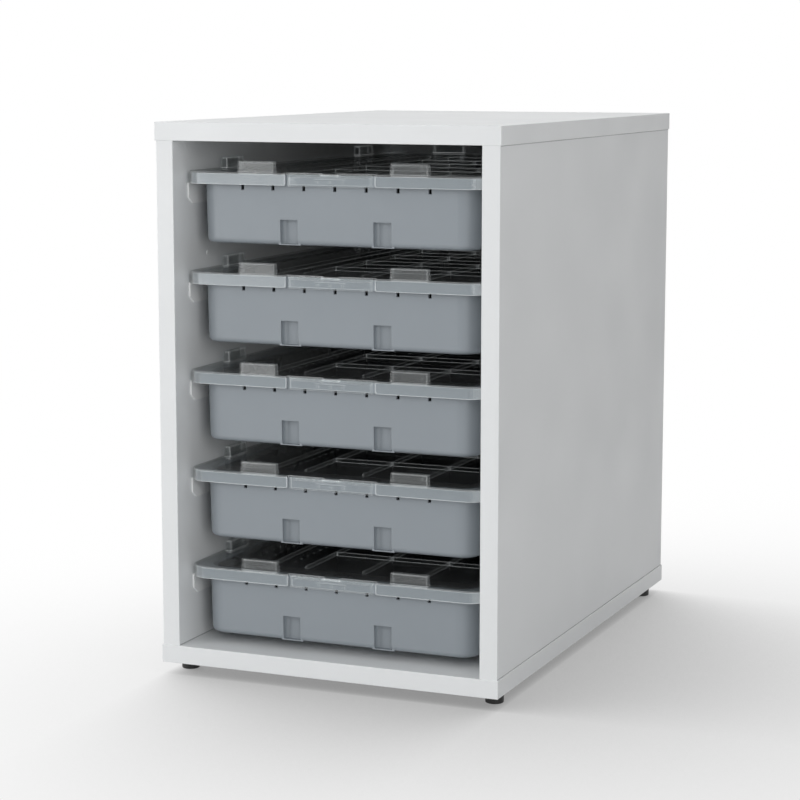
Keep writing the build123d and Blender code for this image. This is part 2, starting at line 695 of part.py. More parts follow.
def latch():
    """Clear flap on two knuckles, with a finger grip and a bead along its lower edge."""
    inner = KNUCKLE_WIDTH / 2
    plate_y0 = lid_front + LATCH_RECESS
    plate_y1 = plate_y0 + LATCH_PLATE
    below_knuckle = hinge_z - KNUCKLE_RADIUS - SLIDE_GAP
    flap = block(-latch_half, latch_half, plate_y0, plate_y1, latch_bottom, below_knuckle)
    for side in (-1, 1):
        flap += rod_x(side * inner, side * latch_half, hinge_y, hinge_z, KNUCKLE_RADIUS)
        flap += block(side * inner, side * latch_half, plate_y0, plate_y1, below_knuckle, hinge_z)
        flap += block(
            side * (latch_half - LATCH_PLATE), side * latch_half, lid_front, plate_y1, latch_bottom, hinge_z
        )
    flap += block(-latch_half, latch_half, lid_front, plate_y1, latch_bottom, latch_bottom + LATCH_LIP)
    grip_half = GRIP_WIDTH / 2
    bar_top = -GRIP_BELOW_TOP
    flap += block(-grip_half, grip_half, plate_y0 - GRIP_PROUD, plate_y0, bar_top - GRIP_BAR, bar_top)
    leg_half = GRIP_LEG_WIDTH / 2
    leg_low = bar_top - GRIP_BAR - GRIP_LEG_HEIGHT
    for x in spread(-grip_half + 2 * leg_half, grip_half - 2 * leg_half, GRIP_LEGS):
        flap += block(x - leg_half, x + leg_half, plate_y0 - GRIP_LEG_PROUD, plate_y0, leg_low, bar_top)
    flap -= rod_x(-LATCH_WIDTH, LATCH_WIDTH, hinge_y, hinge_z, PIN_RADIUS + FIT_GAP)
    return flap


def latch_pin():
    """Pin through the knuckles of the lid and the latch."""
    return rod_x(-latch_half, latch_half, hinge_y, hinge_z, PIN_RADIUS)


def save(name, shape):
    """Write one node; a list becomes a group of separate solids."""
    if isinstance(shape, list):
        shape = Compound(children=shape)
    export_step(shape, f"parts/{name}.step")


def cabinet_nodes():
    """Fixed pieces of the cabinet by node name."""
    nodes = {
        "top_panel": top_board(),
        "bottom_panel": bottom_board(),
        "left_side_panel": side_panel(-1),
        "right_side_panel": side_panel(1),
        "back_panel": back_board(),
        "edge_bands": edge_bands(),
        "panel_dowels": dowels(),
        "back_panel_screws": [back_screw(side, z, 0) for side in (-1, 1) for z in back_screw_heights()],
        "hole_plugs": [hole_plug(side, 0) for side in (-1, 1)],
        "foot_sleeves": [sleeve(x, y) for x, y in foot_places()],
    }
    nodes["runner_screws"] = [
        runner_screw(side, y, z, 0)
        for side in (-1, 1)
        for z in runner_screw_heights()
        for y in runner_screw_places()
    ]
    foot_names = ("front_left_foot", "front_right_foot", "back_left_foot", "back_right_foot")
    for name, (x, y) in zip(foot_names, foot_places()):
        nodes[name] = foot(x, y)
    return nodes


def level_pieces():
    """Pieces that repeat at each level, in the tray frame, by name."""
    return {
        "left_runner": runner(-1),
        "right_runner": runner(1),
        "tray": tray(),
        "sorting_insert": sorting_insert(),
        "divider_set": divider_set(),
        "lid": lid(),
        "lid_ribs": lid_ribs(),
        "front_latch": latch(),
        "latch_pin": latch_pin(),
    }


os.makedirs("parts", exist_ok=True)
for node, solid in cabinet_nodes().items():
    save(node, solid)
for piece, shape in level_pieces().items():
    for level in range(LEVELS):
        lift = Pos(0, 0, first_lid_top + level * tray_pitch)
        placed = [lift * part for part in shape] if isinstance(shape, list) else lift * shape
        save(f"{piece}_{level + 1}", placed)
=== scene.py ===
"""Looks of a classroom tray storage unit: a white board cabinet with five lidded trays."""

from __future__ import annotations

import logging
import math
from dataclasses import dataclass, replace
from enum import Enum
from typing import Any, Union

import bpy
import numpy as np
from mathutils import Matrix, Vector

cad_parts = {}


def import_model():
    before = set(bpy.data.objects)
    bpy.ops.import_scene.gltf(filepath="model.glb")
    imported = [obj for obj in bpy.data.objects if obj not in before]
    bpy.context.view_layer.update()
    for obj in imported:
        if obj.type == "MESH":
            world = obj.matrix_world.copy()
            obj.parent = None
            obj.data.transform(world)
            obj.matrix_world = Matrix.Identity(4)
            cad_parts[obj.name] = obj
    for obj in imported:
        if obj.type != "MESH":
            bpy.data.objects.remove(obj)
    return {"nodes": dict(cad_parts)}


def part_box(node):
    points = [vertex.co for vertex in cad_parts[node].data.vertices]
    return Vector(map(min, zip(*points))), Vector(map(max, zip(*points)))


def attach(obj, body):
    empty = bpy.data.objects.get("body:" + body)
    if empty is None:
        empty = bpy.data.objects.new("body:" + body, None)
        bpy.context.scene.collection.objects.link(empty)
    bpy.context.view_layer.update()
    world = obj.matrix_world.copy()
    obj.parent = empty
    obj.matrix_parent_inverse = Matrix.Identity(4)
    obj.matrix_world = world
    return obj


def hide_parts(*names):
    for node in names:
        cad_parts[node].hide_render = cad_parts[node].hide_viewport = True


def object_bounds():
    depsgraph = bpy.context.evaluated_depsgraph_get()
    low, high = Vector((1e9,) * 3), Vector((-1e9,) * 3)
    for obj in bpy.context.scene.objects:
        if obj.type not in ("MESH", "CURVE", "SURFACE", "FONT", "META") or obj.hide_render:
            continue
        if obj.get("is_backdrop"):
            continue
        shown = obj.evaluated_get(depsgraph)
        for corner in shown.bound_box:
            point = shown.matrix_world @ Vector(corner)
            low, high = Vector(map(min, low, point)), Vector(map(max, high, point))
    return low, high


LOG = logging.getLogger("tray_unit")
MM = 0.001
LEVELS = range(1, 6)
Colour = tuple[float, float, float, float]
Span = tuple[float, float]
Point = tuple[float, float, float]
Faces = list[list[int]]
Links = dict[Union[str, int], Any]
Tree = bpy.types.NodeTree
Socket = bpy.types.NodeSocket
WHITE: Colour = (1.0, 1.0, 1.0, 1.0)
WHOLE: Span = (0.0, 1.0)


def linear(hex_code: str) -> Colour:
    """Turn an sRGB hex colour into linear light.

    Args:
        hex_code: colour as "#RRGGBB".

    Returns:
        Linear red, green, blue and an alpha of 1.
    """
    channels = [int(hex_code[i:i + 2], 16) / 255 for i in (1, 3, 5)]
    toe, slope, lift, power = 0.04045, 12.92, 0.055, 2.4
    light = [c / slope if c <= toe else ((c + lift) / (1 + lift)) ** power for c in channels]
    return (light[0], light[1], light[2], 1.0)


def per_metre(size_mm: float) -> float:
    """Scale of a texture whose cells are about this many millimetres wide."""
    return 1.0 / (size_mm * MM)


def add_node(tree: Tree, kind: str, links: Links | None = None, **settings: Any) -> bpy.types.Node:
    """Add one shader node with its settings and inputs.

    Args:
        tree: node tree that gets the node.
        kind: Blender's type name of the node.
        links: inputs by name or number; a socket is linked, anything else is set as the value.
        settings: properties of the node itself.

    Returns:
        The new node.
    """
    node = tree.nodes.new(kind)
    for name, value in settings.items():
        setattr(node, name, value)
    for key, value in (links or {}).items():
        if isinstance(value, bpy.types.NodeSocket):
            tree.links.new(value, node.inputs[key])
        else:
            node.inputs[key].default_value = value
    return node


def compute(tree: Tree, operation: str, *values: Socket | float) -> Socket:
    """Add one step of arithmetic.

    Args:
        tree: node tree that gets the node.
        operation: Blender's name of the step.
        values: sockets or numbers that it works on.

    Returns:
        The result.
    """
    return add_node(tree, "ShaderNodeMath", dict(enumerate(values)), operation=operation).outputs[0]


def remap(tree: Tree, value: Socket, given: Span, wanted: Span = WHOLE, **settings: Any) -> Socket:
    """Map one span of values onto another and hold what lies beyond at its ends.

    Args:
        tree: node tree that gets the node.
        value: what is mapped.
        given: ends of the span that it comes from.
        wanted: ends of the span that it goes to.
        settings: properties of the node itself.

    Returns:
        The result.
    """
    ends = {"From Min": given[0], "From Max": given[1], "To Min": wanted[0], "To Max": wanted[1]}
    return add_node(tree, "ShaderNodeMapRange", {"Value": value, **ends}, **settings).outputs["Result"]


def blend(tree: Tree, share: Socket, first: str, second: str) -> Socket:
    """Mix two colours.

    Args:
        tree: node tree that gets the node.
        share: share of the second colour.
        first: sRGB hex colour.
        second: sRGB hex colour.

    Returns:
        The mixed colour.
    """
    colour_a, colour_b, mixed = 6, 7, 2  # the node's sockets for colours
    links: Links = {"Factor": share, colour_a: linear(first), colour_b: linear(second)}
    return add_node(tree, "ShaderNodeMix", links, data_type="RGBA").outputs[mixed]


def lay_over(tree: Tree, share: Socket, below: Socket, above: Socket) -> Socket:
    """Mix two shaders.

    Args:
        tree: node tree that gets the node.
        share: share of the upper shader.
        below: lower shader.
        above: upper shader.

    Returns:
        The mixed shader.
    """
    return add_node(tree, "ShaderNodeMixShader", {0: share, 1: below, 2: above}).outputs["Shader"]


def noise(tree: Tree, place: Socket, size_mm: float, detail: float, roughness: float = 0.5) -> Socket:
    """Add a noise texture.

    Args:
        tree: node tree that gets the node.
        place: coordinates in metres.
        size_mm: width of its cells.
        detail: number of finer layers.
        roughness: strength of a layer against the one before.

    Returns:
        Its value.
    """
    links: Links = {"Vector": place, "Scale": per_metre(size_mm), "Detail": detail, "Roughness": roughness}
    return add_node(tree, "ShaderNodeTexNoise", links).outputs["Fac"]


def seen_ray(tree: Tree) -> Socket:
    """Tell rays that show the surround itself, straight or by way of a shine or glass.

    Args:
        tree: node tree that gets the nodes.

    Returns:
        A socket that is 1 for such a ray and 0 for one that only carries light.
    """
    rays = add_node(tree, "ShaderNodeLightPath").outputs
    seen = rays["Is Camera Ray"]
    for other in ("Is Glossy Ray", "Is Transmission Ray"):
        seen = compute(tree, "MAXIMUM", seen, rays[other])
    return seen


def polar_rings(radii: np.ndarray, heights: np.ndarray, spokes: int) -> np.ndarray:
    """Turn an outline about the Z axis.

    Point (i, j) is (r_i cos a_j, r_i sin a_j, h_i), with the spokes a_j spread evenly.

    Args:
        radii: radius r of each ring.
        heights: height h of each ring.
        spokes: number of points on a ring.

    Returns:
        The points by ring and spoke.
    """
    angle = np.linspace(0.0, 2 * np.pi, spokes, endpoint=False)
    height = np.repeat(heights[:, None], spokes, axis=1)
    return np.stack([radii[:, None] * np.cos(angle), radii[:, None] * np.sin(angle), height], axis=-1)


def polar_faces(rings: int, spokes: int, facing_down: bool = False) -> Faces:
    """Number the faces of a turned shape: a fan about its middle, then four-sided faces outwards.

    Args:
        rings: number of rings about the middle, which is point 0.
        spokes: number of points on a ring.
        facing_down: turn the faces over.

    Returns:
        Faces as lists of point numbers.
    """
    index = 1 + np.arange(rings * spokes).reshape(rings, spokes)
    after = np.roll(index, -1, axis=1)
    fan = np.stack([np.zeros_like(index[0]), index[0], after[0]], axis=-1)
    quads = np.stack([index[:-1], index[1:], after[1:], after[:-1]], axis=-1).reshape(-1, 4)
    faces = fan.tolist() + quads.tolist()
    return [face[:1] + face[:0:-1] for face in faces] if facing_down else faces


def repeat_faces(faces: Faces, points: int, copies: int) -> Faces:
    """Number the faces of copies of one shape that follow each other.

    Args:
        faces: faces of the first copy.
        points: number of points of one copy.
        copies: number of copies.

    Returns:
        Faces of all copies.
    """
    return [[corner + i * points for corner in face] for i in range(copies) for face in faces]


def add_piece(name: str, points: np.ndarray, faces: Faces, finish: Finish) -> bpy.types.Object:
    """Make one smooth piece and put it in the scene.

    Args:
        name: name of the piece and its mesh.
        points: corners in metres.
        faces: faces as lists of point numbers.
        finish: finish that covers it.

    Returns:
        The piece.
    """
    mesh = bpy.data.meshes.new(name)
    mesh.from_pydata(points.tolist(), [], faces)
    mesh.polygons.foreach_set("use_smooth", np.ones(len(mesh.polygons), dtype=bool))
    mesh.materials.append(finish.material())
    piece = bpy.data.objects.new(name, mesh)
    bpy.context.scene.collection.objects.link(piece)
    return piece


class Slot(Enum):
    """Material slots of the record for the added pieces, which this script doesn't assign."""

    ZINC = "zinc_steel"
    CLEAR = "clear_lid"


@dataclass(frozen=True)
class Finish:
    """Base of every finish: makes one named material on demand."""

    name: str

    def material(self) -> bpy.types.Material:
        """Return this finish's material, made the first time it is asked for."""
        found = bpy.data.materials.get(self.name)
        if found is not None:
            return found
        made = bpy.data.materials.new(self.name)
        made.use_nodes = True
        tree = made.node_tree
        tree.nodes.clear()
        place = add_node(tree, "ShaderNodeTexCoord").outputs["Object"]
        add_node(tree, "ShaderNodeOutputMaterial", {"Surface": self.surface(tree, place)})
        return made

    def surface(self, tree: Tree, place: Socket) -> Socket:
        """Build the shader; each finish has its own.

        Args:
            tree: node tree of the material.
            place: object coordinates in metres.

        Returns:
            The shader socket for the material's surface.
        """
        raise NotImplementedError


@dataclass(frozen=True)
class GrainedFinish(Finish):
    """An opaque surface with faint clouding and a fine pressed or moulded grain."""

    colour: str
    cloud: str  # second tone of the clouding
    roughness: float
    cloud_mm: float
    grain_mm: float
    grain_depth_mm: float
    edge_mm: float = 0.0  # radius of softened edges
    edge_samples: int = 6
    roughness_swing: float = 0.06
    cloud_span: Span = (0.3, 0.7)  # values that the clouding mostly keeps to
    ior: float = 1.5
    joints: tuple[float, ...] = ()  # heights in metres where the piece ends against another
    joint_mm: float = 1.0
    joint_shade: float = 0.42  # light that comes back out of such a joint

    def surface(self, tree: Tree, place: Socket) -> Socket:
        """Clouded colour, uneven gloss and bumped grain on one principled shader.

        Args:
            tree: node tree of the material.
            place: object coordinates in metres.

        Returns:
            The shader socket.
        """
        cloud = noise(tree, place, self.cloud_mm, detail=3.0)
        grain = noise(tree, place, self.grain_mm, detail=2.0, roughness=0.6)
        tone = blend(tree, cloud, self.colour, self.cloud)
        for height in self.joints:
            tone = self.joint_line(tree, place, tone, height)
        swing = (self.roughness - self.roughness_swing, self.roughness + self.roughness_swing)
        gloss = remap(tree, cloud, self.cloud_span, swing)
        bump: Links = {"Height": grain, "Distance": self.grain_depth_mm * MM, "Strength": 1.0}
        if self.edge_mm:
            edge = add_node(tree, "ShaderNodeBevel", {"Radius": self.edge_mm * MM}, samples=self.edge_samples)
            bump["Normal"] = edge.outputs["Normal"]
        normal = add_node(tree, "ShaderNodeBump", bump).outputs["Normal"]
        shader = add_node(
            tree, "ShaderNodeBsdfPrincipled",
            {"Base Color": tone, "Roughness": gloss, "IOR": self.ior, "Normal": normal},
        )
        return shader.outputs["BSDF"]

    def joint_line(self, tree: Tree, place: Socket, tone: Socket, height: float) -> Socket:
        """Darken the colour in the hairline joint at one height.

        Args:
            tree: node tree of the material.
            place: object coordinates in metres.
            tone: colour of the open face.
            height: height of the joint in metres.

        Returns:
            The colour with the joint in it.
        """
        level = add_node(tree, "ShaderNodeSeparateXYZ", {0: place}).outputs["Z"]
        away = compute(tree, "ABSOLUTE", compute(tree, "SUBTRACT", level, height))
        reach = self.joint_mm * MM
        light = remap(tree, away, (reach / 2, reach), (self.joint_shade, 1.0))
        return add_node(tree, "ShaderNodeVectorMath", {0: tone, "Scale": light}, operation="SCALE").outputs[0]


@dataclass(frozen=True)
class ClearPlastic(Finish):
    """Polished clear plastic: thin walls that are looked through, with painted highlights and glow at the
    edges.
    """

    tint: str  # what a wall lets through
    pale: str  # light that a wall scatters back, also the colour of the painted highlight lines and painted glow at edges
    under: str  # painted shade: what an edge that faces down lets through
    haze: float  # share of a face that isn't see-through
    edge: float  # the same share right on an edge, which draws a painted highlight line
    edge_mm: float
    painted_edge_glow: float  # painted glow, emitted at edges that face front or back
    painted_edge_glow_aside: float  # the same at edges that face the sides
    flat_round: float  # weight of rounded edges that lie flat in the painted highlight
    upright_round: float  # weight of rounded edges that stand in the painted highlight
    mirror: float  # strength of the surface shine
    roughness: float
    ior: float
    edge_samples: int = 8

    def surface(self, tree: Tree, place: Socket) -> Socket:
        """See-through wall that throws no shadow and whose edges draw pale lines, a painted highlight.

        The share of plastic that shows is haze + (edge - haze) * line, a painted glow by emission adds
        to it, and a mirror that grows towards grazing views lies over it. Edges that face down get
        painted shade: they only darken what is behind them.

        Args:
            tree: node tree of the material.
            place: object coordinates in metres; not used.

        Returns:
            The shader socket.
        """
        fully_ahead = 0.7  # part of the normal along the depth at which an edge faces front or back
        turning_down: Span = (-0.2, -0.6)  # height of the normal, from level to facing down
        bevel = add_node(tree, "ShaderNodeBevel", {"Radius": self.edge_mm * MM}, samples=self.edge_samples)
        rounded = bevel.outputs["Normal"]
        line = self.edge_line(tree, rounded)
        way = add_node(tree, "ShaderNodeSeparateXYZ", {0: rounded}).outputs
        ahead = compute(tree, "ABSOLUTE", way["Y"])
        painted_edge_glow = remap(tree, ahead, (0.0, fully_ahead), (self.painted_edge_glow_aside, self.painted_edge_glow))
        down = remap(tree, way["Z"], turning_down)
        # painted highlight: edges that don't face down draw a pale matt line and a painted glow
        painted_highlight_edges = compute(tree, "MULTIPLY", line, compute(tree, "SUBTRACT", 1.0, down))
        # painted shade: edges that face down darken what is seen through them
        painted_shade_edges = compute(tree, "MULTIPLY", line, down)

        painted_shade_tint = blend(tree, painted_shade_edges, self.tint, self.under)
        through = add_node(tree, "ShaderNodeBsdfTransparent", {"Color": painted_shade_tint}).outputs["BSDF"]
        matt = add_node(tree, "ShaderNodeBsdfDiffuse", {"Color": linear(self.pale)}).outputs["BSDF"]
        wall = lay_over(tree, remap(tree, painted_highlight_edges, WHOLE, (self.haze, self.edge)), through, matt)
        # painted glow: emission along the edges, stronger where they face front or back
        painted_glow = compute(tree, "MULTIPLY", painted_highlight_edges, painted_edge_glow)
        painted_edge_light = add_node(tree, "ShaderNodeEmission", {"Color": linear(self.pale), "Strength": painted_glow})
        lined = add_node(tree, "ShaderNodeAddShader", {0: wall, 1: painted_edge_light.outputs["Emission"]})

        grazing = add_node(tree, "ShaderNodeFresnel", {"IOR": self.ior}).outputs["Fac"]
        shine = compute(tree, "MULTIPLY", grazing, self.mirror)
        gloss = add_node(tree, "ShaderNodeBsdfGlossy", {"Roughness": self.roughness}).outputs["BSDF"]
        polished = lay_over(tree, shine, lined.outputs["Shader"], gloss)
        lamp = add_node(tree, "ShaderNodeLightPath").outputs["Is Shadow Ray"]
        gone = add_node(tree, "ShaderNodeBsdfTransparent", {"Color": linear(self.tint)}).outputs["BSDF"]
        return lay_over(tree, lamp, polished, gone)

    def edge_line(self, tree: Tree, rounded: Socket) -> Socket:
        """Find edges: where a rounded normal leaves the true one, and where the wall itself is rounded.

        A wall that turns from flat to upright, or from facing front to facing the side, counts by
        4 a (1 - a), with a the square of one component of its normal, once that passes its draft.

        Args:
            tree: node tree of the material.
            rounded: normal smoothed over nearby faces.

        Returns:
            A socket that is 1 right on a sharp edge, less on a rounded one and 0 on a face.
        """
        full_turn = 0.2  # one minus the cosine between the two normals near a square edge
        drafted = 0.25  # walls that lean no more than this, as moulded walls do, are no edge
        most = 1 / 4  # the largest value of a (1 - a)
        true = add_node(tree, "ShaderNodeNewGeometry").outputs["True Normal"]
        level = add_node(tree, "ShaderNodeVectorMath", {0: rounded, 1: true}, operation="DOT_PRODUCT")
        line = remap(tree, level.outputs["Value"], (1.0, 1.0 - full_turn))
        squares = add_node(tree, "ShaderNodeVectorMath", {0: true, 1: true}, operation="MULTIPLY").outputs[0]
        axes = add_node(tree, "ShaderNodeSeparateXYZ", {0: squares}).outputs
        upright = compute(tree, "SUBTRACT", 1.0, axes["Z"])
        turns = ((axes["Z"], upright, self.flat_round), (axes["X"], axes["Y"], self.upright_round))
        for part, rest, weight in turns:
            turn = compute(tree, "MULTIPLY", part, rest)
            weighed = remap(tree, turn, (drafted * most, most), (0.0, weight))
            line = compute(tree, "MAXIMUM", line, weighed)
        return line


@dataclass(frozen=True)
class PlatedSteel(Finish):
    """Zinc plated steel: a cool grey metal with a cloudy shine."""

    colour: str
    roughness: float
    crystal_mm: float
    roughness_swing: float = 0.08

    def surface(self, tree: Tree, place: Socket) -> Socket:
        """Metal whose gloss changes from crystal to crystal.

        Args:
            tree: node tree of the material.
            place: object coordinates in metres.

        Returns:
            The shader socket.
        """
        crystal = add_node(
            tree, "ShaderNodeTexVoronoi", {"Vector": place, "Scale": per_metre(self.crystal_mm)},
        ).outputs["Distance"]
        swing = (self.roughness - self.roughness_swing, self.roughness + self.roughness_swing)
        gloss = remap(tree, crystal, WHOLE, swing)
        shader = add_node(
            tree, "ShaderNodeBsdfPrincipled",
            {"Base Color": linear(self.colour), "Metallic": 1.0, "Roughness": gloss},
        )
        return shader.outputs["BSDF"]


@dataclass(frozen=True)
class BeechWood(Finish):
    """Turned beech: pale tan with short darker flecks along the grain."""

    colour: str
    fleck: str
    fleck_mm: float
    fleck_stretch: float
    roughness: float

    def surface(self, tree: Tree, place: Socket) -> Socket:
        """Flecks drawn out along the dowel.

        Args:
            tree: node tree of the material.
            place: object coordinates in metres.

        Returns:
            The shader socket.
        """
        drawn = add_node(
            tree, "ShaderNodeMapping", {"Vector": place, "Scale": (1.0, 1.0, 1.0 / self.fleck_stretch)},
        ).outputs["Vector"]
        tone = blend(tree, noise(tree, drawn, self.fleck_mm, detail=4.0), self.colour, self.fleck)
        shader = add_node(
            tree, "ShaderNodeBsdfPrincipled", {"Base Color": tone, "Roughness": self.roughness},
        )
        return shader.outputs["BSDF"]


@dataclass(frozen=True)
class FadingFloor(Finish):
    """Matt white floor that shows a painted shade of the object and fades out with distance."""

    bounce: float = 0.82  # grey that the floor sends back to the object
    shade_reach: float = 0.9  # how far the object shades the floor, in metres
    shade_lean: Point = (-0.9, 0.8, 1.0)  # tilt of the sky that the painted shade is taken against
    shade_least: float = 0.1  # light that is left in the deepest shade
    shade_samples: int = 24
    solid: float = 1.2  # radius of the full floor in metres
    end: float = 3.2  # radius where it has faded into the surround

    def surface(self, tree: Tree, place: Socket) -> Socket:
        """White glow less the share of the sky that the object hides, a painted shade, over a matt grey for
        other light.

        Args:
            tree: node tree of the material.
            place: object coordinates in metres.

        Returns:
            The shader socket.
        """
        away = add_node(tree, "ShaderNodeVectorMath", {0: place}, operation="LENGTH").outputs["Value"]
        fade = remap(tree, away, (self.solid, self.end), interpolation_type="SMOOTHSTEP")
        grey = (self.bounce, self.bounce, self.bounce, 1.0)
        matt = add_node(tree, "ShaderNodeBsdfDiffuse", {"Color": grey}).outputs["BSDF"]
        lean = add_node(tree, "ShaderNodeVectorMath", {0: self.shade_lean}, operation="NORMALIZE").outputs[0]
        # painted shade: ambient occlusion, not the lamps, darkens the floor's glow near the object
        open_sky = add_node(
            tree, "ShaderNodeAmbientOcclusion",
            {"Distance": self.shade_reach, "Normal": lean},
            samples=self.shade_samples,
        ).outputs["AO"]
        shade = remap(tree, open_sky, WHOLE, (self.shade_least, 1.0))
        painted_glow = add_node(tree, "ShaderNodeEmission", {"Strength": shade}).outputs["Emission"]
        gone = add_node(tree, "ShaderNodeBsdfTransparent").outputs["BSDF"]
        return lay_over(tree, fade, lay_over(tree, seen_ray(tree), matt, painted_glow), gone)


# Melamine faced board: pressed paper in resin, an even white with a barely felt pearl grain.
BOARD = GrainedFinish("melamine_white_board", "#E8EAEB", "#E5E7E8", 0.42, 90.0, 1.4, 0.012, 0.4)
# Edging strip: extruded plastic, a touch smoother than the board.
EDGING = GrainedFinish("abs_edging_white", "#E9EBEC", "#E6E8E9", 0.38, 60.0, 1.8, 0.008)
# Runner: bent sheet under powder coat, which flows into a soft orange peel.
RUNNER = GrainedFinish("powder_coated_runner", "#F4F5F5", "#F1F2F2", 0.35, 25.0, 1.6, 0.02, 0.5)
# Tray: polypropylene moulded against a fine spark eroded tool, satin and a little waxy.
TRAY = GrainedFinish("polypropylene_blue_grey", "#8F969C", "#8C9399", 0.42, 45.0, 1.1, 0.012, 0.7)
# Insert: black polystyrene formed in a polished tool, so it shines where the light grazes it.
INSERT = GrainedFinish("polystyrene_black_insert", "#2B2C2D", "#272829", 0.30, 35.0, 1.2, 0.006, 0.5)
# Dividers: the same polystyrene in loose plates, a shade lighter.
DIVIDER = GrainedFinish("polystyrene_dark_divider", "#313233", "#2D2E2F", 0.32, 30.0, 1.2, 0.006, 0.5)
# Plug: soft polyethylene cap.
PLUG = GrainedFinish("polyethylene_white_plug", "#EEEFEF", "#EBECEC", 0.45, 6.0, 0.8, 0.006, 0.3)
# Foot: black nylon, moulded with a dull face.
FOOT = GrainedFinish("nylon_black_foot", "#151515", "#111112", 0.5, 6.0, 0.9, 0.012, 0.5)
# Screws and sleeves: steel under a thin coat of zinc, which dries in small crystals.
ZINC = PlatedSteel("zinc_plated_steel", "#C9CBCD", 0.34, 1.2)
# Dowels: turned beech, left raw for the glue.
DOWEL = BeechWood("turned_beech", "#CDAA80", "#A97F55", 1.1, 8.0, 0.55)
# Lid: clear styrene acrylonitrile from a polished tool; its edges get painted highlight lines and a painted
# glow, and painted shade where they face down.
LID = ClearPlastic(
    "clear_styrene_lid", "#FBFCFC", "#E4E7E8", "#8A8E91",
    haze=0.027, edge=0.32, edge_mm=0.6, painted_edge_glow=0.9, painted_edge_glow_aside=0.35,
    flat_round=0.2, upright_round=0.1, mirror=0.4, roughness=0.04, ior=1.5,
)
# Latch and pin: the same plastic in small thin walls, with fainter painted highlight lines, a weaker painted
# glow at edges that face front or back and darker painted shade.
LATCH = ClearPlastic(
    "clear_styrene_latch", "#FBFCFC", "#E4E7E8", "#5E6265",
    haze=0.012, edge=0.2, edge_mm=0.5, painted_edge_glow=0.38, painted_edge_glow_aside=0.45,
    flat_round=0.08, upright_round=0.05, mirror=0.4, roughness=0.04, ior=1.5,
)


@dataclass
class Dresser:
    """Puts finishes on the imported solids."""

    nodes: dict[str, bpy.types.Object]

    def dress(self, node: str, finish: Finish) -> None:
        """Give one solid its finish.

        Args:
            node: name of the solid.
            finish: finish that covers it.
        """
        item = self.nodes[node]
        item.data.materials.clear()
        item.data.materials.append(finish.material())
        LOG.info("dressed %s in %s", node, finish.name)


@dataclass
class Carcass:
    """The board cabinet with its edging, fixings, plugs and feet."""

    boards: tuple[str, ...] = ("top_panel", "bottom_panel", "back_panel")
    sides: tuple[str, ...] = ("left_side_panel", "right_side_panel")
    feet: tuple[str, ...] = ("front_left_foot", "front_right_foot", "back_left_foot", "back_right_foot")
    fixings: tuple[str, ...] = ("back_panel_screws", "runner_screws", "foot_sleeves")

    def dress(self, dresser: Dresser) -> None:
        """Finish every solid of the cabinet; the side boards show the joints at their ends.

        Args:
            dresser: puts finishes on solids.
        """
        for board in self.boards:
            dresser.dress(board, BOARD)
        for side in self.sides:
            low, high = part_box(side)
            dresser.dress(side, replace(BOARD, name=f"melamine_{side}", joints=(low.z, high.z)))
        for foot in self.feet:
            dresser.dress(foot, FOOT)
        for fixing in self.fixings:
            dresser.dress(fixing, ZINC)
        dresser.dress("edge_bands", EDGING)
        dresser.dress("panel_dowels", DOWEL)
        dresser.dress("hole_plugs", PLUG)


@dataclass
class TrayLevel:
    """One level: two runners and a tray with its insert, dividers, lid and latch."""

    level: int

    def dress(self, dresser: Dresser) -> None:
        """Finish every solid of this level.

        Args:
            dresser: puts finishes on solids.
        """
        finishes = {
            "left_runner": RUNNER,
            "right_runner": RUNNER,
            "tray": TRAY,
            "sorting_insert": INSERT,
            "divider_set": DIVIDER,
            "lid": LID,
            "lid_ribs": LID,
            "front_latch": LATCH,
            "latch_pin": LATCH,
        }
        for piece, finish in finishes.items():
            dresser.dress(f"{piece}_{self.level}", finish)


class ScrewHead(Enum):
    """Outline of a screw from the middle of its head to its tip: radius and height in millimetres.

    Heights count outwards from the face that the head is driven against. The first stretch is the
    top of the head, which holds the recess.
    """

    COUNTERSUNK = ((0.0, 0.0), (2.8, 0.0), (1.5, -1.5), (1.5, -15.0), (0.0, -18.0))
    PAN = ((0.0, 1.8), (2.9, 1.5), (3.5, 0.8), (3.5, 0.0), (1.75, 0.0), (1.75, -10.0), (0.0, -13.0))


class Looks(Enum):
    """Where the heads of a group of screws look."""

    BACK = "to the back"
    MIDDLE = "at the middle of the cabinet"


